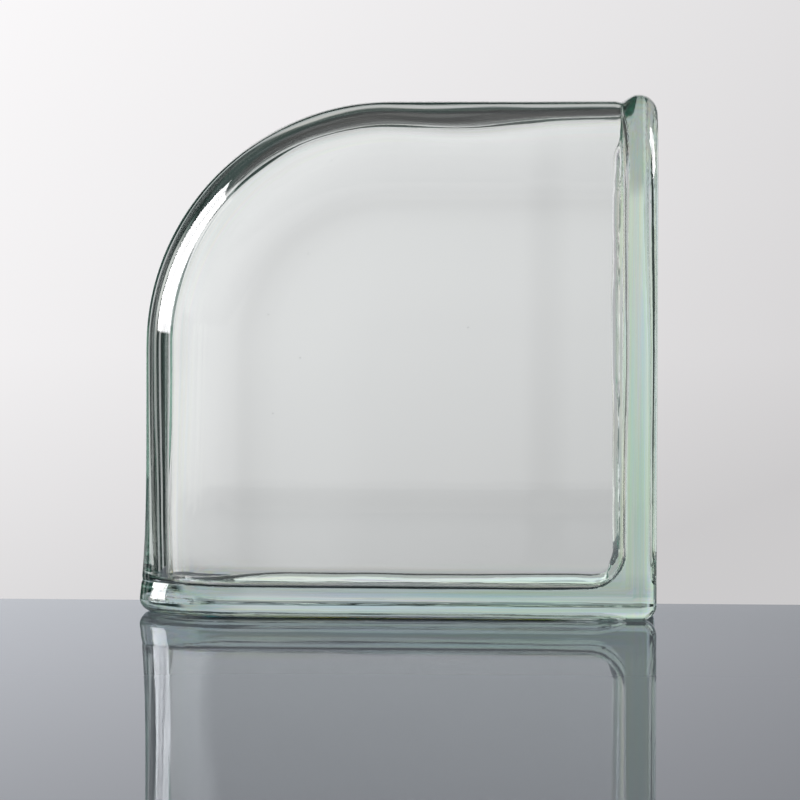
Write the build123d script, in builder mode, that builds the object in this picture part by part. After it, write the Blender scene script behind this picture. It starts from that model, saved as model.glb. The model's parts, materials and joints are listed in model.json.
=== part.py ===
from build123d import *
import os

# Hollow glass block with two mortar sides (bottom and right) and a finished, half-round edge that
# runs up the left side, round a large corner and along the top. Two pressed halves are fused at
# mid-depth and close a sealed cavity. Millimetres, Z up, the faces look along -Y and +Y, and the
# origin is under the middle of the bottom mortar side.

# Overall sizes, over the mortar rims
block_width = 190.0
block_height = 190.0
block_depth = 80.0

# Finished edge: it stands back from the mortar rims and is rounded over almost the whole depth
finish_setback = 2.5
finish_corner_radius = 90.0

# Mortar rim: its ends are half-round in plan and stand proud of the finished edge, down to which
# they slope
rim_thickness = 12.0
rim_edge_radius = 5.0
rim_end_slope = 3.0
rim_corner_radius = 5.5

# Keyed channel that holds the mortar, with a flange along each face and the fused seam in its floor
flange_width = 12.0
channel_depth = 3.5
channel_side_run = 3.0
seam_bead_height = 1.2
seam_bead_width = 6.0

# Glass thicknesses and the inside corners
pane_thickness = 8.0
finish_wall = 7.1
mortar_wall = 10.5
cavity_corner_radius = 14.0
cavity_edge_radius = 7.0
least_seam_flat = 1.0

# How far a cutter or an added piece runs past the surface that it crosses
overrun = 1.0

os.makedirs("parts", exist_ok=True)

# Places that follow from the sizes above
half_width = block_width / 2
half_depth = block_depth / 2
finish_round = half_depth - finish_setback
rim_flat_middle = (rim_thickness + rim_edge_radius - rim_end_slope) / 2
cavity_half_depth = half_depth - pane_thickness
cavity_round = min(finish_round - finish_wall, cavity_half_depth - least_seam_flat)
channel_half_mouth = half_depth - flange_width
channel_half_floor = channel_half_mouth - channel_side_run
mouth_overrun = overrun * channel_side_run / channel_depth

# Each mortar side has a plane: its origin is the mortar corner, x runs to the finished end and z
# points into the glass
bottom_side = Plane((half_width, 0, 0), x_dir=(-1, 0, 0), z_dir=(0, 0, 1))
right_side = Plane((half_width, 0, 0), x_dir=(0, 0, 1), z_dir=(-1, 0, 0))
mortar_sides = ((bottom_side, block_width), (right_side, block_height))


def rounded_form(left, right, bottom, top, half, corner, nose):
    """Slab with a large top-left corner, its left, top-left and top edges rounded at both faces."""
    with BuildPart() as form:
        with BuildSketch(Plane.XZ):
            with BuildLine():
                side = Line((left, bottom), (left, top - corner))
                turn = RadiusArc(side @ 1, (left + corner, top), corner)
                Polyline(turn @ 1, (right, top), (right, bottom), side @ 0)
            make_face()
        extrude(amount=half, both=True)
        faces = form.faces().filter_by(Axis.Y)
        fillet(faces.edges().filter_by(lambda edge: is_finished(edge, right, bottom)), nose)
    return form.part


def is_finished(edge, right, bottom):
    """True for an edge that doesn't lie along the right or the bottom of the form."""
    centre = edge.center()
    return centre.X < right - overrun and centre.Z > bottom + overrun


def mortar_loop(solid):
    """Edges that go once round the right and bottom faces, without the corner between them."""
    bottom_face = solid.faces().filter_by(Axis.Z).sort_by(Axis.Z)[0]
    right_face = solid.faces().filter_by(Axis.X).sort_by(Axis.X)[-1]
    return (bottom_face.edges() + right_face.edges()).filter_by(Axis.Y, reverse=True)


def rim_end(side, length):
    """Half-round end of a rim, sloped off on the edge that stands proud of the finished glass."""
    with BuildPart() as end:
        with BuildSketch(side):
            with Locations((length - half_depth, 0)):
                Circle(half_depth)
        extrude(amount=rim_thickness)
        inner_face = end.faces().sort_by(Axis(side.origin, side.z_dir))[-1]
        chamfer(inner_face.edges(), rim_end_slope)
    return end.part


def rim_path(start_x, end_z):
    """Front view line of the rims' outside, from the bottom one's end to the right one's end."""
    with BuildLine(Plane.XZ) as path:
        FilletPolyline(
            (start_x, 0),
            (half_width, 0),
            (half_width, end_z),
            radius=rim_corner_radius,
        )
    return path.wire()


# Clear glass without its rims: two faces and the finished edge
body = rounded_form(
    finish_setback - half_width,
    half_width - rim_flat_middle,
    rim_flat_middle,
    block_height - finish_setback,
    half_depth,
    finish_corner_radius,
    finish_round,
)

# Sealed cavity: the same form one wall further in, with its mortar-side edges rounded
with BuildPart() as cavity:
    add(
        rounded_form(
            finish_setback + finish_wall - half_width,
            half_width - mortar_wall,
            mortar_wall,
            block_height - finish_setback - finish_wall,
            cavity_half_depth,
            finish_corner_radius - finish_wall,
            cavity_round,
        )
    )
    inner_corner = cavity.edges().filter_by(Axis.Y)
    fillet(inner_corner.sort_by_distance((half_width, 0, 0))[0], cavity_corner_radius)
    fillet(mortar_loop(cavity.part), cavity_edge_radius)

with BuildPart() as glass_block:
    add(body)
    for side, length in mortar_sides:
        add(rim_end(side, length))
        with BuildSketch(side):
            with Locations(((length - half_depth) / 2, 0)):
                Rectangle(length - half_depth, block_depth)
        extrude(amount=rim_thickness)

    # Outside corner between the mortar sides, then the edges that go round both of them
    corner_edges = glass_block.edges().filter_by(Axis.Y)
    fillet(corner_edges.sort_by_distance((half_width, 0, 0))[0], rim_corner_radius)
    fillet(mortar_loop(glass_block.part), rim_edge_radius)

    # Keyed channel: a trapezium swept along both mortar sides, closed by a cone at each end
    channel_path = rim_path(half_depth - half_width, block_height - half_depth)
    with BuildSketch(Plane(channel_path @ 0, x_dir=(0, 1, 0), z_dir=(1, 0, 0))):
        with BuildLine():
            Polyline(
                (-channel_half_mouth - mouth_overrun, -overrun),
                (-channel_half_floor, channel_depth),
                (channel_half_floor, channel_depth),
                (channel_half_mouth + mouth_overrun, -overrun),
                close=True,
            )
        make_face()
    sweep(path=channel_path, mode=Mode.SUBTRACT)
    for side, length in mortar_sides:
        with Locations(side.offset(-overrun) * Location((length - half_depth, 0, 0))):
            Cone(
                channel_half_mouth + mouth_overrun,
                channel_half_floor,
                channel_depth + overrun,
                align=(Align.CENTER, Align.CENTER, Align.MIN),
                mode=Mode.SUBTRACT,
            )

    # Fused seam along the middle of the channel floor, as long as the channel
    seam_reach = channel_half_floor + overrun
    seam_path = rim_path(
        half_depth - half_width - seam_reach, block_height - half_depth + seam_reach
    )
    with BuildSketch(Plane(seam_path @ 0, x_dir=(0, 1, 0), z_dir=(1, 0, 0))):
        with BuildLine():
            bead = ThreePointArc(
                (-seam_bead_width / 2, channel_depth),
                (0, channel_depth - seam_bead_height),
                (seam_bead_width / 2, channel_depth),
            )
            Polyline(
                bead @ 1,
                (seam_bead_width / 2, channel_depth + overrun),
                (-seam_bead_width / 2, channel_depth + overrun),
                bead @ 0,
            )
        make_face()
    sweep(path=seam_path)

    # Sealed cavity
    add(cavity.part, mode=Mode.SUBTRACT)

glass_block.part.label = "glass_block"
export_step(glass_block.part, "parts/glass_block.step")
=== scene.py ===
import json
import logging
import math
from dataclasses import dataclass, field
from enum import Enum
from functools import reduce
from typing import Optional, Sequence, Union

import bpy
import numpy as np
from mathutils import Matrix, Vector

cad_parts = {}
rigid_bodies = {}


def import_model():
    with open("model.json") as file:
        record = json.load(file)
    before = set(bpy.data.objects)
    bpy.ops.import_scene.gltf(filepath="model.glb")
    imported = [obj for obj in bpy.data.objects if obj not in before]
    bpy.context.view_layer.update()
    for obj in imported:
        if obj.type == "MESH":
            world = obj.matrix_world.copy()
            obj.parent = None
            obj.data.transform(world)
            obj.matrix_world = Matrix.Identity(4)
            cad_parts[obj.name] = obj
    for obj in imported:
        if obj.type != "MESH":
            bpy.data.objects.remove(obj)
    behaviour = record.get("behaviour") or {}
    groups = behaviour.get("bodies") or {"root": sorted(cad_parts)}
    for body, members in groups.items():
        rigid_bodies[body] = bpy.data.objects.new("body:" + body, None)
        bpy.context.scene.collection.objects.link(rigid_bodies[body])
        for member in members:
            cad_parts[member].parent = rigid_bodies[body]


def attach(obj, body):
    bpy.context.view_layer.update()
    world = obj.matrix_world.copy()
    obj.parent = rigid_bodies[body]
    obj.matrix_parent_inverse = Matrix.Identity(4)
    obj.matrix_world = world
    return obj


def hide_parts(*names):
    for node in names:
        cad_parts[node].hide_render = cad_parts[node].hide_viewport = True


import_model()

LOG = logging.getLogger("glass_block")
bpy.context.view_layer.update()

# Sizes are in millimetres, as in the part's source, and meshes are made in metres
MM = 0.001

# Points are joined where they agree to this many parts of a millimetre
WELD_PARTS = 1e4

Array = np.ndarray
Span = tuple[float, float]
Triple = tuple[float, float, float]
Colour = Triple
Socket = bpy.types.NodeSocket
Number = Union[float, Socket]
Value = Union[float, tuple[float, ...], Socket]


class End(Enum):
    """The two rims that end half-round where they meet the finished edge."""

    BOTTOM = "bottom"
    RIGHT = "right"


@dataclass(frozen=True)
class BlockSizes:
    """Main sizes of the block, with the bottom mortar side on z = 0 and the faces at +-y."""

    width: float = 190.0
    height: float = 190.0
    depth: float = 80.0
    finish_setback: float = 2.5
    finish_corner: float = 90.0
    finish_wall: float = 7.1
    pane: float = 8.0
    mortar_wall: float = 10.5
    rim_corner: float = 5.5
    flange: float = 12.0
    channel_depth: float = 3.5
    channel_run: float = 3.0
    bead_height: float = 1.2
    bead_width: float = 6.0
    cavity_edge: float = 2.2
    cavity_corner: float = 14.0
    seam_flat: float = 1.6

    @property
    def half_width(self) -> float:
        """Half of the width over the rims."""
        return self.width / 2

    @property
    def half_depth(self) -> float:
        """Half of the depth over the two faces."""
        return self.depth / 2

    @property
    def line_x(self) -> float:
        """X of the line that the left finished edge is rounded about."""
        return self.half_depth - self.half_width

    @property
    def line_z(self) -> float:
        """Z of the line that the top finished edge is rounded about."""
        return self.height - self.half_depth

    @property
    def line_turn(self) -> float:
        """Radius of the turn between those two lines."""
        return self.finish_corner - (self.half_depth - self.finish_setback)

    @property
    def turn_middle(self) -> Span:
        """X and z of the point that the turn goes about."""
        return self.line_x + self.line_turn, self.line_z - self.line_turn

    def side_line(self, heights: Array, turn: Array) -> tuple[Array, Array]:
        """Half of the line inside the glass that the finished edge is rounded about.

        The leg goes straight up at line_x, and runs into the arc of radius line_turn about
        turn_middle.

        Args:
            heights: Heights on the leg, rising.
            turn: Angles on the turn in radians above the level, rising.

        Returns:
            Centres, and unit vectors to the outside, as rows of x and z.
        """
        leg = np.stack([np.full_like(heights, self.line_x), heights], axis=1)
        leg_out = np.tile([-1.0, 0.0], (len(heights), 1))
        turn_out = np.stack([-np.cos(turn), np.sin(turn)], axis=1)
        turn_line = np.array(self.turn_middle) + self.line_turn * turn_out
        return np.concatenate([leg, turn_line]), np.concatenate([leg_out, turn_out])

    def swap_ends(self, points: Array) -> Array:
        """Swaps the two mortar sides: x becomes the half width less z, and z that less x."""
        return points[..., ::-1] * [-1.0, 1.0, -1.0] + [self.half_width, 0.0, self.half_width]


def smooth_step(x: Array, low: float, high: float) -> Array:
    """Rises from 0 at low to 1 at high as 3t^2 - 2t^3, with t the share of the way between them."""
    t = np.clip((x - low) / (high - low), 0.0, 1.0)
    return t * t * (3.0 - 2.0 * t)


def falling(x: Array, low: float, high: float) -> Array:
    """Falls from 1 at low to 0 at high, as 1 less the smooth step."""
    return 1.0 - smooth_step(x, low, high)


def bell(x: Array, middle: float, width: float) -> Array:
    """Bell curve exp(-((x - middle) / width)^2)."""
    return np.exp(-(((x - middle) / width) ** 2))


def spaced(stops: Sequence[float], counts: Sequence[int]) -> Array:
    """Even steps from stop to stop, through each once, with a count for every stretch."""
    runs = [np.linspace(a, b, n + 1)[:-1] for a, b, n in zip(stops, stops[1:], counts)]
    return np.concatenate(runs + [np.array([stops[-1]])])


def grid_triangles(rows: int, columns: int, turned: bool) -> Array:
    """Two triangles for each cell of a grid of points.

    Args:
        rows: Number of rows of points.
        columns: Number of points in a row.
        turned: Whether the triangles face the other way.

    Returns:
        Triangles as rows of three point numbers.
    """
    index = np.arange(rows * columns).reshape(rows, columns)
    a, b = index[:-1, :-1].ravel(), index[:-1, 1:].ravel()
    c, d = index[1:, 1:].ravel(), index[1:, :-1].ravel()
    tris = np.concatenate([np.stack([a, b, c], 1), np.stack([a, c, d], 1)])
    return tris[:, ::-1] if turned else tris


@dataclass
class Surface:
    """Closed surface of triangles, in millimetres."""

    points: Array
    tris: Array

    @classmethod
    def welded(cls, grids: Sequence[tuple[Array, bool]]) -> "Surface":
        """Joins grids along equal points and drops the cells that have closed up.

        Args:
            grids: Grids of points, each with whether its triangles are turned over.

        Returns:
            The joined surface.
        """
        tris, points, offset = [], [], 0
        for grid, turned in grids:
            tris.append(grid_triangles(grid.shape[0], grid.shape[1], turned) + offset)
            points.append(grid.reshape(-1, 3))
            offset += len(points[-1])
        stacked = np.concatenate(points)
        keys = np.round(stacked * WELD_PARTS).astype(np.int64)
        _, first, inverse = np.unique(keys, axis=0, return_index=True, return_inverse=True)
        joined = inverse.reshape(-1)[np.concatenate(tris)]
        a, b, c = joined.T
        return cls(stacked[first], joined[(a != b) & (b != c) & (a != c)])

    def volume(self) -> float:
        """A sixth of the sum of a . (b x c) over the triangles, over 0 where they face outwards."""
        a, b, c = (self.points[self.tris[:, i]] for i in range(3))
        return float(np.einsum("ij,ij->i", a, np.cross(b, c)).sum() / 6.0)

    def normals(self) -> Array:
        """Unit normals at the points: the area-weighted mean of the triangles round each."""
        a, b, c = (self.points[self.tris[:, i]] for i in range(3))
        face = np.cross(b - a, c - a)
        total = np.zeros_like(self.points)
        for corner in range(3):
            for axis in range(3):
                total[:, axis] += np.bincount(
                    self.tris[:, corner], weights=face[:, axis], minlength=len(total)
                )
        return total / np.maximum(np.linalg.norm(total, axis=1, keepdims=True), 1e-12)

    def turned(self) -> "Surface":
        """The same surface with its triangles facing the other way."""
        return Surface(self.points, self.tris[:, ::-1])

    def with_others(self, others: Sequence["Surface"]) -> "Surface":
        """This surface and others as one, each kept closed by itself."""
        parts = [self, *others]
        starts = np.cumsum([0] + [len(part.points) for part in parts[:-1]])
        return Surface(
            np.concatenate([part.points for part in parts]),
            np.concatenate([part.tris + start for part, start in zip(parts, starts)]),
        )

    def to_object(self, name: str) -> bpy.types.Object:
        """Puts the surface into a smooth-shaded mesh object at the origin.

        Args:
            name: The object's name.

        Returns:
            The new object, linked to the scene.
        """
        mesh = bpy.data.meshes.new(name)
        mesh.vertices.add(len(self.points))
        mesh.vertices.foreach_set("co", (self.points * MM).astype(np.float32).ravel())
        mesh.loops.add(self.tris.size)
        mesh.loops.foreach_set("vertex_index", self.tris.astype(np.int32).ravel())
        mesh.polygons.add(len(self.tris))
        mesh.polygons.foreach_set("loop_start", np.arange(0, self.tris.size, 3, dtype=np.int32))
        mesh.update(calc_edges=True)
        mesh.validate()
        mesh.shade_smooth()
        made = bpy.data.objects.new(name, mesh)
        bpy.context.scene.collection.objects.link(made)
        return made


@dataclass(frozen=True)
class Ripple:
    """Slow uneven waves that pressed glass keeps from the mould and the fire."""

    height: float
    length: float
    seed: int
    count: int = 12

    def at(self, points: Array) -> Array:
        """Height of the ripple at each point.

        It is a sum of sines, each with its own direction, phase, and a length spread about the
        chosen one, scaled so that its usual swing is the height.

        Args:
            points: Array of x, y, z.

        Returns:
            Height at each point.
        """
        draw = np.random.default_rng(self.seed)
        directions = draw.normal(size=(self.count, 3))
        directions /= np.linalg.norm(directions, axis=1, keepdims=True)
        turns = 2.0 * math.pi / (self.length * draw.uniform(0.6, 1.7, (self.count, 1)))
        phases = draw.uniform(0.0, 2.0 * math.pi, self.count)
        waves = np.sin(points @ (directions * turns).T + phases)
        return self.height * waves.sum(axis=1) / math.sqrt(self.count)


@dataclass
class Skin:
    """One closed skin of the block, rounded about the side line.

    It is three kinds of grid joined together: the finished edge with its two half-round ends, the
    strip along the two mortar sides, and the two faces. half is half of its depth, inset the
    distance from the rim's plane to its mortar side, corner the radius between the mortar sides,
    and seam_flat half of the flat along the middle of the finished edge.
    """

    sizes: BlockSizes
    half: float
    inset: float
    corner: float
    seam_flat: float
    half_rows: int = 60
    corner_rows: int = 8
    round_rows: int = 9
    seam_reach: float = 14.0
    edge_change: float = 60.0
    face_columns: int = 34
    seam_columns: int = 26

    @property
    def angles(self) -> Array:
        """Angles of the columns, 0 at the front and pi at the back, closer together at the seam."""
        half_turn, near = math.pi / 2, math.radians(self.seam_reach)
        stops = (0.0, half_turn - near, half_turn, half_turn + near, math.pi)
        counts = (self.face_columns, self.seam_columns, self.seam_columns, self.face_columns)
        return spaced(stops, counts)

    def edge(self, share: Array) -> Array:
        """Rounding of the mortar side's long edges, by the share of the way to the right end."""
        raise NotImplementedError

    def leg(self, end: End) -> Array:
        """Heights of the rows from a rim's edge rounding up to the large corner."""
        raise NotImplementedError

    def flat_reaches(self, edge: Array) -> Array:
        """Reaches of the rows across the mortar side's floor, one set for each edge rounding."""
        raise NotImplementedError

    def wall(self, angle: Array) -> Array:
        """Distance from the side line to the end's wall: the finished edge's, if nothing else."""
        return self.nose(angle)

    def floor(self, reach: Array, y: Array) -> Array:
        """Depth of the mortar side's floor below the rim's plane at a reach and a y."""
        return np.full_like(reach, self.inset)

    def side(self, along: Array, angle: Array, end: End) -> Array:
        """Distance from the side line to the finished edge, by distance from a rim's plane."""
        return np.broadcast_to(self.nose(angle), np.broadcast(along, angle).shape)

    def nose(self, angle: Array) -> Array:
        """Distance from the side line to the finished edge, by angle from the front.

        The section is two quarter circles of radius half - seam_flat, with a flat of twice
        seam_flat between them. A ray meets the flat where it comes within seam_flat of mid-depth,
        and the nearer circle elsewhere.

        Args:
            angle: Angle in radians, 0 at the front face and pi at the back one.

        Returns:
            The distance.
        """
        flat, radius = self.seam_flat, self.half - self.seam_flat
        sine, cosine = np.sin(angle), np.abs(np.cos(angle))
        circle = flat * cosine + np.sqrt(np.maximum(radius**2 - (flat * sine) ** 2, 0.0))
        return np.where(cosine * radius <= flat * sine, radius / np.maximum(sine, 1e-9), circle)

    def section(self, edge: Array, full: Array) -> tuple[Array, Array]:
        """Rows from the middle of a mortar side out to the end of its edge rounding.

        A row of the rounding at the angle b lies edge * (1 - sin b) short of the full reach and
        edge * (1 - cos b) in from the inset.

        Args:
            edge: Rounding, as a column for each section.
            full: Full reach, as a column for each section.

        Returns:
            Reach of every row, and how far in the rounding has gone, each sections by rows.
        """
        turn = np.linspace(0.0, math.pi / 2, self.round_rows + 1)[1:][None, :]
        flat = self.flat_reaches(edge) * (full - edge) / (self.half - edge)
        reach = np.concatenate([flat, full - edge * (1.0 - np.sin(turn))], axis=1)
        inward = np.concatenate([np.zeros_like(flat), edge * (1.0 - np.cos(turn))], axis=1)
        return reach, inward

    def end_cap(self, end: End) -> Array:
        """Half-round end of a mortar side, as a grid of rows outwards by columns of angle.

        The section above is swung about the side line.

        Args:
            end: Which rim it is. The grid lies at the bottom in both cases.

        Returns:
            Grid of x, y, z.
        """
        s = self.sizes
        angle = self.angles
        share = np.full((len(angle), 1), 1.0 if end is End.RIGHT else 0.0)
        reach, inward = self.section(self.edge(share), self.wall(angle)[:, None])
        y = -reach * np.cos(angle)[:, None]
        height = self.floor(reach, y) + inward
        grid = np.stack([s.line_x - reach * np.sin(angle)[:, None], y, height], axis=-1)
        return grid.transpose(1, 0, 2)

    def finished_half(self, end: End) -> Array:
        """Finished edge from a rim to the middle of the large corner.

        A point is the side line's centre, moved out by reach * sin(angle) and in depth by
        -reach * cos(angle).

        Args:
            end: Which rim it starts from. The grid starts at the bottom in both cases.

        Returns:
            Grid of x, y, z.
        """
        s = self.sizes
        heights = self.leg(end)
        turn = np.linspace(0.0, math.pi / 4, self.half_rows - len(heights) + 2)[1:]
        centres, outward = s.side_line(heights, turn)
        along = np.concatenate([heights, np.full(len(turn), heights[-1])])
        angle = self.angles
        reach = self.side(along[:, None], angle[None, :], end)
        out = reach * np.sin(angle)
        x, z = (centres[:, [i]] + out * outward[:, [i]] for i in range(2))
        return np.stack([x, -reach * np.cos(angle), z], axis=-1)

    def strip_half(self, end: End) -> Array:
        """Mortar side from its half-round end to the middle of the mortar corner.

        Each row is the section across the depth. Past the straight part it turns about the
        corner's centre, at the corner radius less how far in the point lies.

        Args:
            end: Which rim it is. The grid lies at the bottom in both cases.

        Returns:
            Grid of x, y, z.
        """
        s = self.sizes
        centre_x = s.half_width - self.inset - self.corner
        straight = np.linspace(s.line_x, centre_x, self.half_rows - self.corner_rows + 1)
        swing = np.linspace(0.0, math.pi / 4, self.corner_rows + 1)[1:][:, None]
        x_along = np.concatenate([straight, np.full(self.corner_rows, centre_x)])[:, None]
        near_end = falling(x_along, s.line_x, s.line_x + self.edge_change)
        share = near_end if end is End.RIGHT else np.zeros_like(near_end)
        edge = self.edge(share)
        reach, inward = self.section(edge, np.full_like(edge, self.half))
        depth = self.floor(reach, reach) + inward
        y = np.concatenate([-reach[:, ::-1], reach[:, 1:]], axis=1)
        depth = np.concatenate([depth[:, ::-1], depth[:, 1:]], axis=1)
        turned = slice(len(straight), None)
        radius = self.corner - (depth[turned] - self.inset)
        x = np.broadcast_to(x_along, depth.shape).copy()
        z = depth.copy()
        x[turned] = centre_x + radius * np.sin(swing)
        z[turned] = self.inset + self.corner - radius * np.cos(swing)
        return np.stack([x, y, z], axis=-1)

    def face(self, edges: tuple[Array, Array, Array, Array]) -> Array:
        """Face between four edges, by the rule of Coons.

        The blend between the left and right edges and the one between the lower and upper edges
        are added, and the blend of the four corners is taken away.

        Args:
            edges: Points along the lower, left, right and upper edges, from their lower or left
                ends.

        Returns:
            Grid of x, y, z.
        """
        lower, left, right, upper = edges
        u = np.linspace(0.0, 1.0, len(lower))[None, :, None]
        v = np.linspace(0.0, 1.0, len(left))[:, None, None]
        across = (1.0 - u) * left[:, None] + u * right[:, None]
        up = (1.0 - v) * lower[None] + v * upper[None]
        corners = (1.0 - v) * ((1.0 - u) * lower[0] + u * lower[-1])
        corners = corners + v * ((1.0 - u) * upper[0] + u * upper[-1])
        return across + up - corners

    def surface(self) -> Surface:
        """All grids of the skin joined, with the triangles facing out of the form."""
        s, half = self.sizes, self.half_rows
        low_cap, high_cap = self.end_cap(End.BOTTOM), self.end_cap(End.RIGHT)
        low = np.concatenate([low_cap, self.finished_half(End.BOTTOM)[1:]])
        high = np.concatenate([high_cap, self.finished_half(End.RIGHT)[1:]])
        finished = np.concatenate([low, s.swap_ends(high)[:-1][::-1]])
        strip_high = s.swap_ends(self.strip_half(End.RIGHT))
        strip = np.concatenate([self.strip_half(End.BOTTOM), strip_high[:-1][::-1]])
        grids = [(finished, True), (strip, False)]
        first, last = len(low_cap) - 1, len(finished) - len(high_cap)
        for column, turned in ((0, False), (-1, True)):
            side = finished[first : last + 1, column]
            rim = strip[:, column]
            edges = (rim[: half + 1], side[: half + 1], rim[half:], side[half:])
            grids.append((self.face(edges), turned))
        return Surface.welded(grids)


@dataclass
class OuterSkin(Skin):
    """Outside of the block: half-round rims with the keyed channel, and the finished edge."""

    end_edge: float = 7.0
    rim_edge: float = 5.0
    flare: float = 80.0
    flare_power: float = 4.0
    shoulder: float = 0.9
    shoulder_rise: float = 14.0
    shoulder_end: Span = (30.0, 95.0)
    channel_soft: float = 0.5
    groove_at: float = 11.6
    groove_depth: float = 0.35
    groove_width: float = 0.8
    hump: float = 7.5
    hump_end: float = 14.0
    past_hump: float = 2.0
    valley_at: float = 13.2
    valley_depth: float = 0.24
    valley_width: float = 1.3
    face_wave: Ripple = Ripple(0.02, 50.0, 21)
    wave_lift: float = 1.5
    wave_margin: Span = (0.5, 6.0)
    bottom_stops: Span = (9.0, 14.0)
    bottom_rows: tuple[int, ...] = (4, 10, 18, 4)
    right_stop: float = 30.0
    right_rows: tuple[int, ...] = (18, 6, 12)
    floor_rows: tuple[int, ...] = (5, 5, 7)
    flange_rows: int = 3

    @property
    def channel_side(self) -> Span:
        """Where the channel's side starts and ends, by distance from the channel's middle."""
        mouth = self.sizes.half_depth - self.sizes.flange
        return mouth - self.sizes.channel_run - self.channel_soft, mouth + self.channel_soft

    def edge(self, share: Array) -> Array:
        """Rounding of the rim, which is softer at the right end."""
        return self.rim_edge + (self.end_edge - self.rim_edge) * share

    def leg(self, end: End) -> Array:
        """Rows that are closest together where the finished edge runs into the rim."""
        top = self.sizes.turn_middle[1]
        if end is End.BOTTOM:
            stops = (self.rim_edge, *self.bottom_stops, self.rim_edge + self.flare, top)
            return spaced(stops, self.bottom_rows)
        stops = (self.end_edge, self.hump_end + self.past_hump, self.right_stop, top)
        return spaced(stops, self.right_rows)

    def wall(self, angle: Array) -> Array:
        """The rims end in half circles."""
        return np.full_like(angle, self.half)

    def floor(self, reach: Array, y: Array) -> Array:
        """Depth of the channel, with the fused bead along its middle.

        The channel's side is a smooth step over channel_side. The bead is the cap of a circle,
        bead_width wide and bead_height high, and it stands on the channel's floor.

        Args:
            reach: Distance from the middle of the channel, or from the side line at its end.
            y: Distance from mid-depth.

        Returns:
            Depth below the rim's plane.
        """
        s = self.sizes
        channel = s.channel_depth * falling(reach, *self.channel_side)
        half_bead = s.bead_width / 2
        bow = (half_bead**2 + s.bead_height**2) / (2.0 * s.bead_height)
        cap = np.sqrt(np.maximum(bow**2 - y**2, 0.0)) - (bow - s.bead_height)
        bead = np.where(np.abs(y) < half_bead, np.maximum(cap, 0.0), 0.0)
        return np.minimum(channel, s.channel_depth - bead)

    def flat_reaches(self, edge: Array) -> Array:
        """Rows over the bead, the channel's floor, its side and the flange."""
        inner = spaced((0.0, self.sizes.bead_width / 2, *self.channel_side), self.floor_rows)
        share = np.linspace(0.0, 1.0, self.flange_rows + 1)[1:]
        flange = inner[-1] + (self.half - edge - inner[-1]) * share[None, :]
        return np.concatenate([np.broadcast_to(inner, (len(flange), len(inner))), flange], axis=1)

    def side(self, along: Array, angle: Array, end: End) -> Array:
        """Finished edge with its run into the rim.

        The surface stands back from the half circle of the rim by the nose's shortfall times a
        weight. At the bottom the weight is 1 - (1 - t)^power over the flare's length, plus a fine
        groove, and the two shoulders stand back by shoulder * sin(2 * angle)^2 more, as
        1 - (1 - t)^2 over their rise. At the right the weight is a smooth step over the hump, plus
        a bell for the valley.

        Args:
            along: Distance from the rim's plane.
            angle: Angle in radians from the front.
            end: Which rim the edge runs into.

        Returns:
            Distance from the side line.
        """
        if end is End.RIGHT:
            weight = smooth_step(along, self.hump, self.hump_end)
            weight = weight + self.valley_depth * bell(along, self.valley_at, self.valley_width)
            return self.half - (self.half - self.nose(angle)) * weight
        past = along - self.rim_edge
        weight = 1.0 - (1.0 - np.clip(past / self.flare, 0.0, 1.0)) ** self.flare_power
        groove = bell(along, self.groove_at, self.groove_width)
        weight = weight + self.groove_depth / self.sizes.finish_setback * groove
        risen = 1.0 - (1.0 - np.clip(past / self.shoulder_rise, 0.0, 1.0)) ** 2
        slim = self.shoulder * np.sin(2.0 * angle) ** 2 * risen
        slim = slim * falling(along, *self.shoulder_end)
        return self.half - (self.half - self.nose(angle)) * weight - slim

    def settled(self, surface: Surface) -> Surface:
        """The outside with its slow waves, which only go inwards.

        A point goes in along its normal by wave_lift times the ripple's usual swing plus the
        ripple, held at 0 or more, and by nothing on the planes of the two rims.

        Args:
            surface: The even outside.

        Returns:
            The uneven outside.
        """
        points, normals = surface.points, surface.normals()
        lift = self.face_wave.height * self.wave_lift
        wave = np.clip(lift + self.face_wave.at(points), 0.0, None)
        reach = np.minimum(self.sizes.half_width - points[:, 0], points[:, 2])
        weight = smooth_step(reach, *self.wave_margin)
        return Surface(points - normals * (wave * weight)[:, None], surface.tris)


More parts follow.
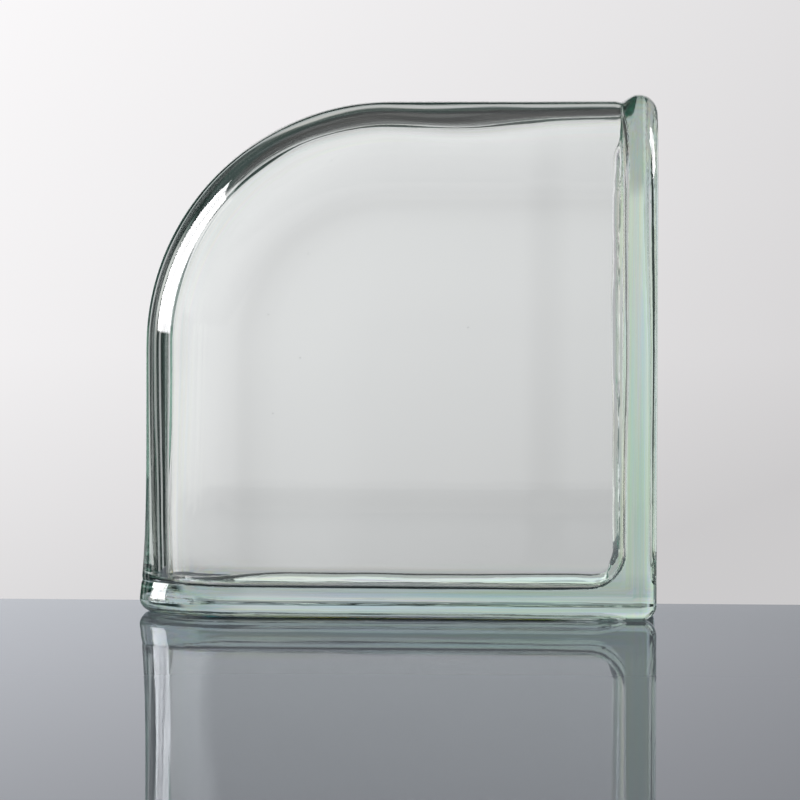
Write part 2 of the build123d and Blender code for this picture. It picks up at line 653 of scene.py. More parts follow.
@dataclass
class CavitySkin(Skin):
    """Wall of the sealed cavity, one glass thickness inside the outer skin."""

    right_dish: float = 0.5
    bottom_dish: float = 0.2
    finish_dish: float = 0.55
    crown: float = 0.45
    crown_reach: float = 44.0
    dish_line: float = 40.0
    dish_width: float = 15.0
    nose_ridge: float = 0.7
    nose_width: float = 2.6
    right_ridge: float = 5.7
    bottom_ridge: float = 4.0
    ridge_width: float = 5.8
    seam_uneven: Ripple = Ripple(0.35, 28.0, 3)
    seam_wander: Ripple = Ripple(0.6, 45.0, 5)
    wall_wave: Ripple = Ripple(0.35, 60.0, 8)
    wave_top: Span = (120.0, 178.0)
    wave_right: Span = (20.0, 76.0)
    least_wave: float = 0.04
    steep: Span = (0.3, 0.95)
    facing: Span = (0.25, 0.9)
    right_rise: Span = (0.6, 14.0)
    bottom_rise: Span = (0.25, 45.0)
    rise_from: float = 2.0
    least_ridge: float = 0.1
    ridge_power: float = 0.9
    past_ridge: float = 0.8
    leg_rows: int = 37
    floor_rows: tuple[int, ...] = (18, 15)

    def edge(self, share: Array) -> Array:
        """The cavity's mortar-side edges have one rounding throughout."""
        return np.full_like(share, self.sizes.cavity_edge)

    def leg(self, end: End) -> Array:
        """Even rows."""
        start, top = self.inset + self.sizes.cavity_edge, self.sizes.turn_middle[1]
        return np.linspace(start, top, self.leg_rows)

    def flat_reaches(self, edge: Array) -> Array:
        """Rows that are closest together over the ridge."""
        stops = (0.0, self.ridge_width + self.past_ridge, self.half - self.sizes.cavity_edge)
        rows = spaced(stops, self.floor_rows)
        return np.broadcast_to(rows, (len(edge), len(rows)))

    def relief(self, points: Array) -> Array:
        """How much thicker a pane is than usual, from the shallow dish pressed into it.

        The pane is thicker by right_dish near the right mortar side and by bottom_dish near the
        bottom one, and thinner by finish_dish beyond the side line. Each is a smooth step, half of
        dish_width to either side of its line. From the side line inwards it thins again by crown,
        as a smooth step over crown_reach.

        Args:
            points: Array of x, y, z.

        Returns:
            Extra thickness at each point.
        """
        s = self.sizes
        x, z = points[:, 0], points[:, 2]
        middle_x, middle_z = s.turn_middle
        round_part = s.line_turn - np.hypot(x - middle_x, z - middle_z)
        inside = np.where(z <= middle_z, x - s.line_x, s.line_z - z)
        inside = np.where((x < middle_x) & (z > middle_z), round_part, inside)
        half = self.dish_width / 2
        dish = (self.dish_line - half, self.dish_line + half)
        right, low = falling(s.half_width - x, *dish), falling(z, *dish)
        finish = falling(inside, -half, half)
        crown = self.crown * smooth_step(inside, half, self.crown_reach)
        return self.right_dish * right + self.bottom_dish * low - self.finish_dish * finish - crown

    def fused(self, surface: Surface) -> Surface:
        """The cavity with its dished panes, the ridge of the fused seam and its waves.

        The depth is scaled so that a pane gains its relief. The ridge is taken off along the
        normals, so it stands into the cavity. Waves are a ripple times a weight, which grows
        towards the top and the right of the cavity.

        Args:
            surface: The even cavity, with its triangles facing out of it.

        Returns:
            The uneven cavity.
        """
        points = surface.points.copy()
        points[:, 1] *= 1.0 - self.relief(points) / self.half
        surface = Surface(points, surface.tris)
        normals = surface.normals()
        steep = falling(np.abs(normals[:, 1]), *self.steep)
        top = smooth_step(points[:, 2], *self.wave_top)
        right = smooth_step(points[:, 0], *self.wave_right)
        weight = self.least_wave + (1.0 - self.least_wave) * np.maximum(top, right) * steep
        shift = self.wall_wave.at(points) * weight - self.ridge(points, normals) * steep
        return Surface(points + normals * shift[:, None], surface.tris)

    def ridge(self, points: Array, normals: Array) -> Array:
        """Height of the ridge that the fusing leaves along the middle of the walls.

        Across the depth it is height * (1 - (y / width)^2)^ridge_power. It is high and wide on the
        mortar walls and low and narrow on the finished edge, by the way the wall faces, and its
        height and place change slowly along it. A mortar wall's ridge starts at the finished edge
        with a share of its height, and has all of it a rise further on.

        Args:
            points: Points of the cavity.
            normals: Unit normals there, out of the cavity.

        Returns:
            Height at each point.
        """
        right = smooth_step(normals[:, 0], *self.facing)
        low = smooth_step(-normals[:, 2], *self.facing) * (1.0 - right)
        flat = points * [1.0, 0.0, 1.0]
        uneven = self.seam_uneven.at(flat)
        height = self.nose_ridge * (1.0 + uneven)
        far_end = self.sizes.height - self.sizes.finish_setback - self.sizes.finish_wall
        walls = (
            (self.right_ridge + uneven, right, self.right_rise, far_end - points[:, 2]),
            (
                self.bottom_ridge + 0.5 * uneven,
                low,
                self.bottom_rise,
                far_end - self.sizes.half_width + points[:, 0],
            ),
        )
        for full, facing, (start, end), reach in walls:
            risen = start + (1.0 - start) * smooth_step(reach, self.rise_from, end)
            height = height + (full * risen - height) * facing
        width = self.nose_width + (self.ridge_width - self.nose_width) * (right + low)
        across = (points[:, 1] - self.seam_wander.at(flat)) / width
        section = np.clip(1.0 - across**2, 0.0, None) ** self.ridge_power
        return np.maximum(height, self.least_ridge) * section


@dataclass
class NodeSums:
    """Builds sums in a node tree, one node for each step."""

    tree: bpy.types.NodeTree

    def join(self, value: Value, socket: Socket) -> None:
        """Links a socket, or writes a number, into an input."""
        if isinstance(value, Socket):
            self.tree.links.new(value, socket)
        else:
            socket.default_value = value

    def node(
        self, kind: str, inputs: Optional[dict[Union[str, int], Value]] = None
    ) -> bpy.types.Node:
        """A new node with some of its inputs linked or written.

        Args:
            kind: The node's kind.
            inputs: What goes into its inputs, by their names or numbers.

        Returns:
            The node.
        """
        node = self.tree.nodes.new(kind)
        for name, value in (inputs or {}).items():
            self.join(value, node.inputs[name])
        return node

    def worked(self, kind: str, operation: str, inputs: Sequence[Value]) -> Socket:
        """Result of a node's operation on its inputs, in their order."""
        node = self.node(kind)
        node.operation = operation
        for value, socket in zip(inputs, node.inputs):
            self.join(value, socket)
        return node.outputs[0]

    def math(self, operation: str, *inputs: Number) -> Socket:
        """Result of a Math node."""
        return self.worked("ShaderNodeMath", operation, inputs)

    def vector(self, operation: str, *inputs: Value) -> Socket:
        """Result of a Vector Math node."""
        return self.worked("ShaderNodeVectorMath", operation, inputs)

    def add(self, *values: Number) -> Socket:
        """Sum of numbers."""
        return reduce(lambda a, b: self.math("ADD", a, b), values)

    def times(self, *values: Number) -> Socket:
        """Product of numbers."""
        return reduce(lambda a, b: self.math("MULTIPLY", a, b), values)

    def rest(self, value: Number) -> Socket:
        """1 less a number."""
        return self.math("SUBTRACT", 1.0, value)

    def dimmed(self, value: Number, where: Number, share: float) -> Socket:
        """A number that loses a share of itself where the other number is 1."""
        return self.times(value, self.rest(self.times(where, share)))

    def ramp(self, value: Number, low: Number, high: Number) -> Socket:
        """0 below low and 1 above high, smooth between them."""
        node = self.node("ShaderNodeMapRange", {0: value, 1: low, 2: high})
        node.interpolation_type = "SMOOTHSTEP"
        return node.outputs[0]

    def fall(self, value: Number, low: float, high: float) -> Socket:
        """1 below low and 0 above high, smooth between them."""
        return self.rest(self.ramp(value, low, high))

    def between(self, value: Number, low: float, high: float, soft: float) -> Socket:
        """1 between low and high and 0 outside, over a soft border centred on each."""
        rise = self.ramp(value, low - soft, low + soft)
        return self.times(rise, self.fall(value, high - soft, high + soft))

    def blend(self, share: Number, a: Number, b: Number) -> Socket:
        """A where the share is 0 and b where it is 1."""
        return self.node("ShaderNodeMix", {0: share, 2: a, 3: b}).outputs[0]

    def shader_mix(self, share: Number, a: Socket, b: Socket) -> Socket:
        """Shader a where the share is 0 and shader b where it is 1."""
        return self.node("ShaderNodeMixShader", {0: share, 1: a, 2: b}).outputs[0]

    def attribute(self, name: str, output: str = "Fac") -> Socket:
        """A named value of the mesh."""
        node = self.node("ShaderNodeAttribute")
        node.attribute_name = name
        return node.outputs[output]

    def coordinates(self, kind: str) -> Socket:
        """Texture coordinates of a kind."""
        return self.node("ShaderNodeTexCoord").outputs[kind]


def new_material(name: str) -> tuple[bpy.types.Material, NodeSums]:
    """A material with no nodes yet, and its sums."""
    made = bpy.data.materials.new(name)
    made.use_nodes = True
    made.node_tree.nodes.clear()
    return made, NodeSums(made.node_tree)


@dataclass(frozen=True)
class ClearGlass:
    """Clear soda-lime glass, faintly green where it is thick, with drawn lines and a few seeds.

    The lines are noise stretched along the way the glass was drawn. They raise the surface a
    little and change its tint. A seed is a bubble that breaks the surface as a dark pinprick.
    """

    index: float = 1.52
    tint: Colour = (0.40, 0.82, 0.68)
    density: float = 5.0
    line_tint: Colour = (0.17, 0.11, 0.24)
    line_contrast: Span = (5.0, -2.2)
    line_detail: float = 3.0
    line_roughness: float = 0.6
    line_height: float = 0.00005
    # Painted shade and painted table reflection: the glass below the cavity is made darker and
    # bluer
    foot_shade_tint: Colour = (0.17, 0.165, 0.11)
    # Painted contact shadow: the glass is darker where the rim meets the table
    contact_shade_tint: Colour = (0.70, 0.71, 0.75)
    # Painted shade: the crest of the fused ridge inside the cavity is made dark
    crest_shade_tint: float = 0.8
    seed_cells: float = 50.0
    seed_size: float = 0.016
    seed_tint: float = 0.5
    seed_pit: float = -0.6
    shadow: Colour = (0.78, 0.83, 0.82)

    def surface(self, sums: NodeSums) -> Socket:
        """The glass surface with its lines and seeds.

        The base colour is 1 less the tints of the line, the foot, the contact line, the fused
        ridge's crest and the seed. The foot's tint is painted shade and painted table reflection,
        the contact line's is a painted contact shadow, and the crest's is painted shade on the
        fused ridge.

        Args:
            sums: The material's nodes.

        Returns:
            The shader.
        """
        weight = sums.attribute("drawn")
        lines = sums.node(
            "ShaderNodeTexNoise",
            {
                "Vector": sums.attribute("flow", "Vector"),
                "Scale": 1.0,
                "Detail": self.line_detail,
                "Roughness": self.line_roughness,
            },
        )
        cells = sums.node(
            "ShaderNodeTexVoronoi",
            {"Vector": sums.coordinates("Object"), "Scale": self.seed_cells},
        )
        seeds = sums.ramp(cells.outputs["Distance"], self.seed_size, self.seed_size * 0.5)
        gain, offset = ((value,) * 3 for value in self.line_contrast)
        pale = sums.vector("MULTIPLY_ADD", lines.outputs["Color"], gain, offset)
        pale = sums.vector("MINIMUM", sums.vector("MAXIMUM", pale, (0.0,) * 3), (1.0,) * 3)
        lost = sums.vector("MULTIPLY", sums.vector("MULTIPLY", pale, self.line_tint), weight)
        # The foot, contact line and crest tints are painted shade; the foot's also stands in for
        # the table's reflection
        places = (
            (sums.attribute("foot"), self.foot_shade_tint),
            (sums.attribute("contact_shade"), self.contact_shade_tint),
            (sums.attribute("crest"), (self.crest_shade_tint,) * 3),
            (seeds, (self.seed_tint,) * 3),
        )
        for place, tint in places:
            lost = sums.vector("ADD", lost, sums.vector("MULTIPLY", place, tint))
        height = sums.add(
            sums.times(lines.outputs["Fac"], weight), sums.times(seeds, self.seed_pit)
        )
        bump = sums.node(
            "ShaderNodeBump", {"Strength": 1.0, "Distance": self.line_height, "Height": height}
        )
        glass = sums.node(
            "ShaderNodeBsdfPrincipled",
            {
                "Roughness": 0.0,
                "IOR": self.index,
                "Transmission Weight": 1.0,
                "Base Color": sums.vector("SUBTRACT", (1.0,) * 3, lost),
                "Normal": bump.outputs[0],
            },
        )
        return glass.outputs[0]

    def material(self) -> bpy.types.Material:
        """Makes the glass, with a body that takes in light and lets the lamps through."""
        made, sums = new_material("clear_glass")
        clear = sums.node("ShaderNodeBsdfTransparent", {"Color": (*self.shadow, 1.0)})
        shadow = sums.node("ShaderNodeLightPath").outputs["Is Shadow Ray"]
        body = sums.node(
            "ShaderNodeVolumeAbsorption", {"Color": (*self.tint, 1.0), "Density": self.density}
        )
        surface = sums.shader_mix(shadow, self.surface(sums), clear.outputs[0])
        sums.node("ShaderNodeOutputMaterial", {"Surface": surface, "Volume": body.outputs[0]})
        return made


@dataclass
class HollowBlock:
    """The glass block: outer skin and sealed cavity as one body of glass."""

    sizes: BlockSizes
    glass: ClearGlass
    line_width: float = 1.5
    line_length: float = 90.0
    margin: Span = (11.0, 16.0)
    nose_margin: Span = (6.0, 10.5)
    nose_share: float = 0.35
    # Places of painted light in the glass's colour: the foot (painted shade and table reflection),
    # the contact line (painted contact shadow) and the ridge's crest (painted shade)
    foot: Span = (11.0, 14.5)
    contact_shade: Span = (0.3, 1.3)
    contact_shade_left: Span = (-86.0, -70.0)
    contact_shade_right: Span = (56.0, 76.0)
    crest: Span = (17.5, 21.0)
    crest_width: float = 1.7

    def inward(self, points: Array) -> tuple[Array, Array]:
        """Distance in from the finished edge, and distance along it, both as seen from the front.

        Beside the leg they are x and z, over the top they are z and x, and round the corner they
        are the radius and the arc. The arc is measured on the corner's own radius.

        Args:
            points: Array of x, y, z.

        Returns:
            The distance in and the distance along.
        """
        s = self.sizes
        middle_x, middle_z = s.turn_middle
        x, z = points[:, 0] - middle_x, points[:, 2] - middle_z
        turn = np.arctan2(np.maximum(z, 0.0), np.maximum(-x, 1e-6))
        out = np.where(x >= 0.0, z, np.where(z <= 0.0, -x, np.hypot(x, z)))
        along = middle_z + np.minimum(z, 0.0) + s.finish_corner * turn + np.maximum(x, 0.0)
        return s.finish_corner - out, along

    def mark(self, piece: bpy.types.Object, points: Array, outside: int) -> None:
        """Gives each point its place in the flow of the glass, for the material.

        "flow" is the distance in from the nearest edge over the width of a line, the depth over
        twice that width, and the distance along that edge over a line's length. "drawn" is 1 at
        the mortar sides and nose_share at the finished edge, and falls to 0 over their margins.
        "foot" is 1 below the cavity on the outside, for painted shade and painted table reflection.
        The contact line's value is 1 where the rim meets the table, except near its ends, for a
        painted contact shadow. "crest" is a bell of the depth along the fused ridge, for painted
        shade there.

        Args:
            piece: The mesh object.
            points: Its points.
            outside: How many of them, from the first, lie on the outside.
        """
        inward, along = self.inward(points)
        right, low = self.sizes.half_width - points[:, 0], points[:, 2]
        near = np.minimum(np.minimum(right, low), inward)
        along = np.where(near == low, right, np.where(near == right, low, along))
        depth = points[:, 1] / (2.0 * self.line_width)
        flow = np.stack([near / self.line_width, depth, along / self.line_length], axis=1)
        mortar = np.minimum(right, low)
        drawn = np.maximum(
            falling(mortar, *self.margin), self.nose_share * falling(inward, *self.nose_margin)
        )
        # Painted shade: the foot darker and bluer, the line where the rim meets the table darker,
        # and the ridge's crest darker
        foot = falling(low, *self.foot)
        foot[outside:] = 0.0
        contact_shade = falling(low, *self.contact_shade) * smooth_step(points[:, 0], *self.contact_shade_left)
        contact_shade = contact_shade * falling(points[:, 0], *self.contact_shade_right)
        crest = bell(points[:, 1], 0.0, self.crest_width) * falling(mortar, *self.crest)
        crest[:outside] = 0.0
        kinds = {1: ("FLOAT", "value"), 2: ("FLOAT_VECTOR", "vector")}
        marks = {"crest": crest, "flow": flow, "drawn": drawn, "foot": foot, "contact_shade": contact_shade}
        for name, values in marks.items():
            kind, part = kinds[values.ndim]
            made = piece.data.attributes.new(name, kind, "POINT")
            made.data.foreach_set(part, values.astype(np.float32).ravel())

    def build(self) -> bpy.types.Object:
        """Makes the block's mesh and dresses it in glass.

        Returns:
            The piece.
        """
        s = self.sizes
        outer_skin = OuterSkin(s, s.half_depth, 0.0, s.rim_corner, s.finish_setback)
        cavity_skin = CavitySkin(
            s, s.half_depth - s.pane, s.mortar_wall, s.cavity_corner, s.seam_flat
        )
        outer = outer_skin.settled(outer_skin.surface())
        cavity = cavity_skin.fused(cavity_skin.surface())
        body = outer.with_others([cavity.turned()])
        LOG.info(
            "glass body: %d triangles, %.1f cm3 of glass", len(body.tris), body.volume() / 1000.0
        )
        piece = body.to_object("glass_body")
        self.mark(piece, body.points, len(outer.points))
        piece.data.materials.append(self.glass.material())
        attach(piece, "root")
        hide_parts("glass_block")
        return piece


@dataclass(frozen=True)
class GreyTable:
    """Glossy grey table that ends a little way behind the block."""

    grey: Colour = (0.20, 0.215, 0.24)
    coat: Colour = (0.805, 0.84, 0.885)
    roughness: float = 0.02
    mirror: float = 1.2
    most_mirror: float = 0.95
    fall: float = 10.7
    back: float = 54.0
    front: float = 900.0
    side: float = 800.0
    thickness: float = 20.0
    round_edge: float = 2.0
    # Painted contact shadow: where and how much the table darkens along the rims' lines
    contact_depth: Triple = (0.0345, 0.0455, 0.0012)
    contact_width: Triple = (-0.072, 0.066, 0.012)
    contact_shadow_paint: float = 0.8

    def material(self) -> bpy.types.Material:
        """Grey lacquer: a dull body under a mirror coat that grows at a flat angle.

        Both are darker in the two lines that the block's rims stand on, by metres of y and x: a
        painted contact shadow.

        Returns:
            The material.
        """
        made, sums = new_material("table_grey")
        place = sums.node("ShaderNodeSeparateXYZ", {0: sums.coordinates("Object")}).outputs
        # Painted contact shadow along the lines that the rims stand on
        rims = sums.between(sums.math("ABSOLUTE", place[1]), *self.contact_depth)
        shadow_lines = sums.times(rims, sums.between(place[0], *self.contact_width))
        light = sums.rest(sums.times(shadow_lines, self.contact_shadow_paint))
        dull = sums.node(
            "ShaderNodeBsdfDiffuse", {"Color": sums.vector("MULTIPLY", self.grey, light)}
        )
        gloss = sums.node(
            "ShaderNodeBsdfGlossy", {"Color": (*self.coat, 1.0), "Roughness": self.roughness}
        )
        facing = sums.node("ShaderNodeLayerWeight", {"Blend": 0.5}).outputs["Facing"]
        share = sums.times(sums.math("POWER", facing, self.fall), self.mirror, light)
        share = sums.math("MINIMUM", share, self.most_mirror)
        lacquer = sums.shader_mix(share, dull.outputs[0], gloss.outputs[0])
        sums.node("ShaderNodeOutputMaterial", {"Surface": lacquer})
        return made

    def build(self) -> bpy.types.Object:
        """Slab with rounded long edges, as a closed profile carried along x.

        Returns:
            The table.
        """
        r, low = self.round_edge, -self.thickness
        turn = np.linspace(0.0, math.pi / 2, 7)
        back = np.stack([self.back - r + r * np.sin(turn), -r + r * np.cos(turn)], axis=1)
        front = np.stack([-self.front + r - r * np.sin(turn), -r + r * np.cos(turn)], axis=1)[::-1]
        profile = np.concatenate([front, back, [[self.back, low], [-self.front, low]]])
        profile = np.concatenate([profile, profile[:1]])
        ends = [np.insert(profile, 0, x, axis=1) for x in (-self.side, self.side)]
        grid = np.stack(ends)
        middle = np.broadcast_to(grid[:, :1], grid.shape) * [1.0, 0.0, 0.0]
        middle = middle + np.array([0.0, (self.back - self.front) / 2, low / 2])
        closed = np.stack([middle[0], grid[0], grid[1], middle[1]])
        slab = Surface.welded([(closed, False)])
        slab = slab if slab.volume() > 0.0 else slab.turned()
        table = slab.to_object("table")
        table.data.shade_flat()
        table.data.materials.append(self.material())
        return table


@dataclass(frozen=True)
class Patch:
    """Part of the studio between two azimuths and two heights, with soft borders, in degrees."""

    across: Span
    up: Span
    soft_across: float = 0.4
    soft_up: float = 0.4


@dataclass
class Sky(NodeSums):
    """The world's nodes, with the direction that a ray looks in, in degrees.

    The azimuth is 0 straight behind the block and grows to the right, the height is 0 on the
    level, and the turn is how far the azimuth is from the aim, which the camera looks along.
    """

    aim: float
    azimuth: Socket = field(init=False)
    height: Socket = field(init=False)
    right: Socket = field(init=False)
    turn: Socket = field(init=False)
    path: bpy.types.Node = field(init=False)

    def __post_init__(self) -> None:
        """Reads the direction and the ray's history."""
        split = self.node("ShaderNodeSeparateXYZ", {0: self.coordinates("Generated")})
        x, y, z = split.outputs
        degrees = 180.0 / math.pi
        self.azimuth = self.times(self.math("ARCTAN2", x, y), degrees)
        self.height = self.times(self.math("ARCSINE", z), degrees)
        self.right = self.math("SUBTRACT", self.azimuth, self.aim)
        self.turn = self.math("ABSOLUTE", self.right)
        self.path = self.node("ShaderNodeLightPath")

    def inside(self, patch: Patch) -> Socket:
        """1 inside a part of the studio and 0 outside."""
        across = self.between(self.azimuth, *patch.across, patch.soft_across)
        return self.times(across, self.between(self.height, *patch.up, patch.soft_up))

    def over(self, count: str, number: float) -> Socket:
        """Whether one of the ray's counts is over a number."""
        return self.math("GREATER_THAN", self.path.outputs[count], number)


@dataclass(frozen=True)
class StudioLight:
    """Light that comes from all round, by direction: pale backdrop, two softboxes, dark room.

    The glass shows the studio in several ways, and each has its own reading here: rays that go
    straight through, that were turned back once inside, that a wall of the cavity mirrored, and
    that the outside mirrored. Two numbers in a row are the ends of a soft change, in degrees.
    """

    aim: float = -3.5
    half_frame: float = 6.4
    backdrop_level: float = 0.785
    backdrop_slopes: Triple = (-0.10, 0.08, 0.26)
    backdrop_ends: Span = (0.6, 0.98)
    wall_levels: Span = (0.72, 0.82)
    room_behind: float = 0.3
    room_right: float = 0.3
    room_overhead: float = 0.18
    window: Patch = Patch((-86.0, -60.5), (3.2, 40.0))
    window_inner: Patch = Patch((-77.0, -56.0), (5.0, 40.0))
    fill: Patch = Patch((60.0, 85.0), (13.0, 43.0))
    strip: Triple = (-40.0, -33.5, 1.3)
    strip_levels: Span = (0.38, 0.45)
    far_strips: tuple[tuple[float, float, float, float], ...] = (
        (-51.0, -46.5, 1.2, 0.45),
        (-62.5, -59.0, 1.2, 0.07),
    )
    far_left: float = 0.3
    dark: float = 0.022
    ceiling_levels: Span = (0.07, 0.2)
    inner_levels: Span = (0.68, 0.55)
    inner_low: Patch = Patch((-9.0, 14.0), (2.5, 13.0), 2.0, 1.5)
    inner_loss: float = 0.45
    walls_front: Patch = Patch((-44.0, 104.0), (-24.0, 34.0), 4.0, 4.0)
    walls_levels: Span = (0.5, 0.95)
    ahead_levels: Span = (0.5, 0.65)
    rim_line: Patch = Patch((40.0, 85.0), (-8.5, 1.0), 5.0, 1.0)
    rim_loss: float = 0.8
    glint: float = 0.4
    straight_share: float = 0.95
    shade_levels: Span = (0.12, 0.8)
    left_loss: float = 0.04
    low_loss: float = 0.1
    high_loss: float = 0.15
    slope_loss: float = 0.14
    box_boost: Span = (0.3, 12.0)
    lit_levels: Span = (0.6, 1.5)
    cool: Colour = (0.74, 1.05, 1.0)
    plain: Colour = (1.0, 0.985, 0.995)

    def across(self, sky: Sky) -> Socket:
        """Distance to the right of the aim, in half frames."""
        return sky.times(sky.right, 1.0 / self.half_frame)

    def left_side(self, sky: Sky) -> Socket:
        """1 from the far left on, and 0 behind the camera."""
        return sky.ramp(sky.azimuth, -140.0, -105.0)

    def backdrop(self, sky: Sky) -> Socket:
        """Pale paper behind the block, darker to the right and below, and held within its ends."""
        side, over, under = self.backdrop_slopes
        up = sky.times(sky.height, 1.0 / self.half_frame)
        rise = sky.add(
            sky.times(sky.math("MAXIMUM", up, 0.0), over),
            sky.times(sky.math("MINIMUM", up, 0.0), under),
        )
        level = sky.add(sky.add(sky.times(self.across(sky), side), self.backdrop_level), rise)
        least, most = self.backdrop_ends
        return sky.math("MINIMUM", sky.math("MAXIMUM", level, least), most)

    def seen(self, sky: Sky, backdrop: Socket) -> Socket:
        """The backdrop ahead, and plain walls to the sides and behind the camera."""
        least, behind = self.wall_levels
        plain = sky.math("MAXIMUM", backdrop, least)
        plain = sky.blend(sky.ramp(sky.turn, 80.0, 130.0), plain, behind)
        near = sky.times(sky.fall(sky.turn, 28.0, 40.0), sky.fall(sky.height, 24.0, 36.0))
        return sky.blend(near, plain, backdrop)

    def strips(self, sky: Sky) -> Socket:
        """Dark left side of the room, with pale upright strips low in it."""
        level, gain = self.strip_levels
        tall = sky.add(level, sky.times(sky.ramp(sky.height, 1.0, 6.0), gain))
        strips = sky.times(sky.between(sky.azimuth, *self.strip), tall)
        for *place, level in self.far_strips:
            strips = sky.add(strips, sky.times(sky.between(sky.azimuth, *place), level))
        left = sky.times(sky.ramp(sky.azimuth, -70.0, -82.0), self.far_left)
        strips = sky.times(sky.add(strips, left), sky.fall(sky.height, 10.0, 20.0))
        return sky.add(strips, self.dark)

    def ceiling(self, sky: Sky) -> Socket:
        """Dark room above, a little lighter overhead."""
        level, gain = self.ceiling_levels
        return sky.add(level, sky.times(sky.ramp(sky.height, 54.0, 66.0), gain))

    def turned_back(self, sky: Sky, strips: Socket, ceiling: Socket) -> Socket:
        """Light that was turned back inside the glass.

        After at most two crossings of a surface it was turned back once. After more, a wall of the
        cavity mirrored it.

        Args:
            sky: The world's nodes.
            strips: Level of the dark left side.
            ceiling: Level of the room above.

        Returns:
            The level.
        """
        inner = sky.blend(sky.ramp(sky.azimuth, 20.0, 60.0), *self.inner_levels)
        inner = sky.dimmed(inner, sky.inside(self.inner_low), self.inner_loss)
        from_left = sky.times(sky.ramp(sky.azimuth, -13.0, -19.0), self.left_side(sky))
        inner = sky.blend(from_left, inner, strips)
        higher = sky.times(sky.ramp(sky.azimuth, -19.0, -13.0), 7.0)
        above = sky.ramp(sky.height, sky.add(higher, 19.5), sky.add(higher, 24.5))
        inner = sky.add(sky.blend(above, inner, ceiling), sky.inside(self.window_inner))
        ahead = sky.between(sky.azimuth, -9.0, 8.0, 2.0)
        ahead_level = sky.blend(sky.ramp(sky.height, 0.0, 1.5), *self.ahead_levels)
        aside, front = self.walls_levels
        walls = sky.blend(ahead, front, ahead_level)
        walls = sky.blend(sky.inside(self.walls_front), aside, walls)
        walls = sky.dimmed(walls, sky.inside(self.rim_line), self.rim_loss)
        facing = sky.fall(sky.turn, 22.0, 30.0)
        glint = sky.times(facing, sky.between(sky.height, 14.0, 34.0, 2.0))
        walls = sky.add(walls, sky.times(glint, self.glint))
        return sky.blend(sky.over("Transmission Depth", 2.5), inner, walls)

    def straight(self, sky: Sky, seen: Socket, strips: Socket) -> Socket:
        """Light that went straight through the glass, past its bent edges.

        Args:
            sky: The world's nodes.
            seen: Level of what is seen ahead.
            strips: Level of the dark left side.

        Returns:
            The level.
        """
        level, gain = self.shade_levels
        shade = sky.between(sky.azimuth, 22.0, 52.0, 3.0)
        shade = sky.times(shade, sky.rest(sky.over("Transmission Depth", 4.5)))
        level_only = sky.times(sky.ramp(sky.height, -4.2, -3.2), sky.fall(sky.height, 5.0, 8.0))
        shade = sky.times(shade, sky.add(level, sky.times(level_only, gain)))
        straight = sky.times(seen, sky.math("SUBTRACT", self.straight_share, shade))
        left = sky.times(sky.ramp(sky.azimuth, -7.0, -15.0), sky.fall(sky.height, -0.6, 3.0))
        low = sky.times(sky.ramp(sky.height, -3.0, -7.0), self.low_loss)
        dim = sky.add(sky.times(left, self.left_loss), low)
        straight = sky.times(straight, sky.rest(dim))
        from_left = sky.times(sky.ramp(sky.azimuth, -30.0, -34.0), self.left_side(sky))
        straight = sky.blend(from_left, straight, strips)
        straight = sky.dimmed(straight, sky.ramp(sky.height, 16.0, 26.0), self.high_loss)
        return sky.blend(sky.ramp(sky.height, 29.0, 35.0), straight, self.room_overhead)

    def mirrored(
        self, sky: Sky, backdrop: Socket, strips: Socket, ceiling: Socket, boxes: Socket
    ) -> Socket:
        """Light that the outside of the block or the table mirrored.

        The softboxes are much brighter in it, but only where the ray has crossed no glass.

        Args:
            sky: The world's nodes.
            backdrop: Level of the backdrop.
            strips: Level of the dark left side.
            ceiling: Level of the room above.
            boxes: 1 on the two softboxes.

        Returns:
            The level.
        """
        open_part = sky.times(sky.fall(sky.turn, 12.0, 17.0), sky.fall(sky.height, 19.5, 25.0))
        above = sky.times(sky.ramp(sky.height, 19.5, 25.0), sky.fall(sky.turn, 88.0, 100.0))
        behind = sky.blend(sky.ramp(sky.turn, 88.0, 100.0), strips, self.room_behind)
        behind = sky.blend(above, behind, ceiling)
        side = sky.blend(sky.ramp(sky.azimuth, 12.0, 18.0), behind, self.room_right)
        sloped = sky.dimmed(backdrop, self.across(sky), self.slope_loss)
        no_glass = sky.rest(sky.over("Transmission Depth", 0.5))
        boost = sky.blend(no_glass, *self.box_boost)
        return sky.blend(open_part, sky.add(side, sky.times(boxes, boost)), sloped)

    def colour(self, sky: Sky, level: Socket) -> Socket:
        """Cool where the studio is dark and low, plain elsewhere."""
        plain = sky.math("MAXIMUM", sky.ramp(level, 0.02, 0.4), sky.ramp(sky.height, 33.0, 40.0))
        tone = sky.node("ShaderNodeMix")
        tone.data_type = "RGBA"
        for number, value in ((0, plain), (6, (*self.cool, 1.0)), (7, (*self.plain, 1.0))):
            sky.join(value, tone.inputs[number])
        return tone.outputs[2]

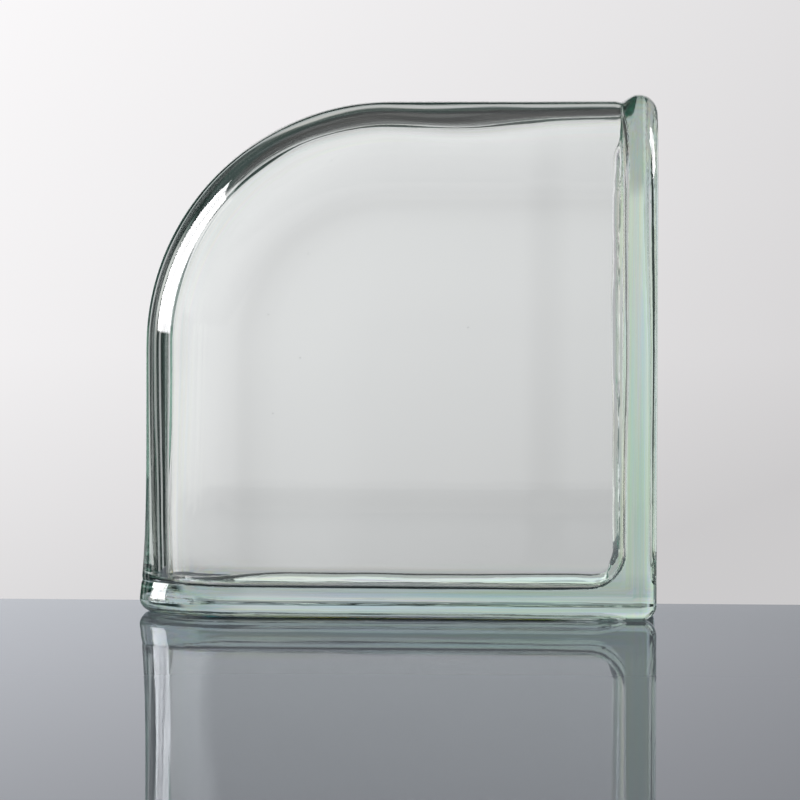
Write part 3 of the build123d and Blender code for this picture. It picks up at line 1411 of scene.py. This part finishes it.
    def build(self) -> bpy.types.World:
        """Makes the world.

        Returns:
            The world, set on the scene.
        """
        world = bpy.data.worlds.new("studio")
        bpy.context.scene.world = world
        world.use_nodes = True
        world.node_tree.nodes.clear()
        sky = Sky(world.node_tree, self.aim)
        backdrop = self.backdrop(sky)
        seen = self.seen(sky, backdrop)
        strips, ceiling = self.strips(sky), self.ceiling(sky)
        boxes = sky.add(sky.inside(self.window), sky.inside(self.fill))
        through = sky.blend(
            sky.over("Glossy Depth", 0.5),
            self.straight(sky, seen, strips),
            self.turned_back(sky, strips, ceiling),
        )
        lit = sky.add(*(sky.times(a, b) for a, b in zip((seen, boxes), self.lit_levels)))
        mirrored = self.mirrored(sky, backdrop, strips, ceiling, boxes)
        level = sky.blend(sky.path.outputs["Is Glossy Ray"], lit, mirrored)
        level = sky.blend(sky.path.outputs["Is Transmission Ray"], level, through)
        level = sky.blend(sky.path.outputs["Is Camera Ray"], level, seen)
        light = sky.node(
            "ShaderNodeBackground", {"Strength": level, "Color": self.colour(sky, level)}
        )
        sky.node("ShaderNodeOutputWorld", {"Surface": light.outputs[0]})
        return world


@dataclass(frozen=True)
class StudioCamera:
    """Long lens a little above the table, nearly level, and turned slightly to the right."""

    distance: float = 1308.0
    height: float = 95.0
    turn: float = 3.5
    roll: float = 0.2
    lens: float = 160.0
    sensor: float = 36.0
    clip: Span = (0.05, 50.0)
    target: Triple = (0.95, 0.0, 77.9)

    def build(self) -> bpy.types.Object:
        """Makes the camera and sets it on the scene.

        Returns:
            The camera.
        """
        turn = math.radians(self.turn)
        x, y = self.distance * math.sin(turn), -self.distance * math.cos(turn)
        place = Vector((x, y, self.height))
        data = bpy.data.cameras.new("camera")
        data.lens = self.lens
        data.sensor_width = self.sensor
        data.clip_start, data.clip_end = self.clip
        camera = bpy.data.objects.new("camera", data)
        bpy.context.scene.collection.objects.link(camera)
        look = (Vector(self.target) - place).to_track_quat("-Z", "Y").to_matrix().to_4x4()
        spin = Matrix.Rotation(math.radians(self.roll), 4, "Z")
        camera.matrix_world = Matrix.Translation(place * MM) @ look @ spin
        bpy.context.scene.camera = camera
        return camera


def set_look() -> None:
    """Plain view transform, and enough bounces for light to cross several walls of glass."""
    scene = bpy.context.scene
    scene.view_settings.view_transform = "Standard"
    scene.cycles.max_bounces = 32
    scene.cycles.transmission_bounces = 32
    scene.cycles.glossy_bounces = 24


def main() -> None:
    """Builds the block, then the setting, the light and the camera."""
    logging.basicConfig(level=logging.INFO, format="%(name)s: %(message)s")
    sizes = BlockSizes()
    block = HollowBlock(sizes, ClearGlass()).build()
    LOG.info("made %s", block.name)
    for part in (GreyTable(), StudioLight(), StudioCamera()):
        LOG.info("made %s", part.build().name)
    set_look()


if __name__ == "__main__":
    main()
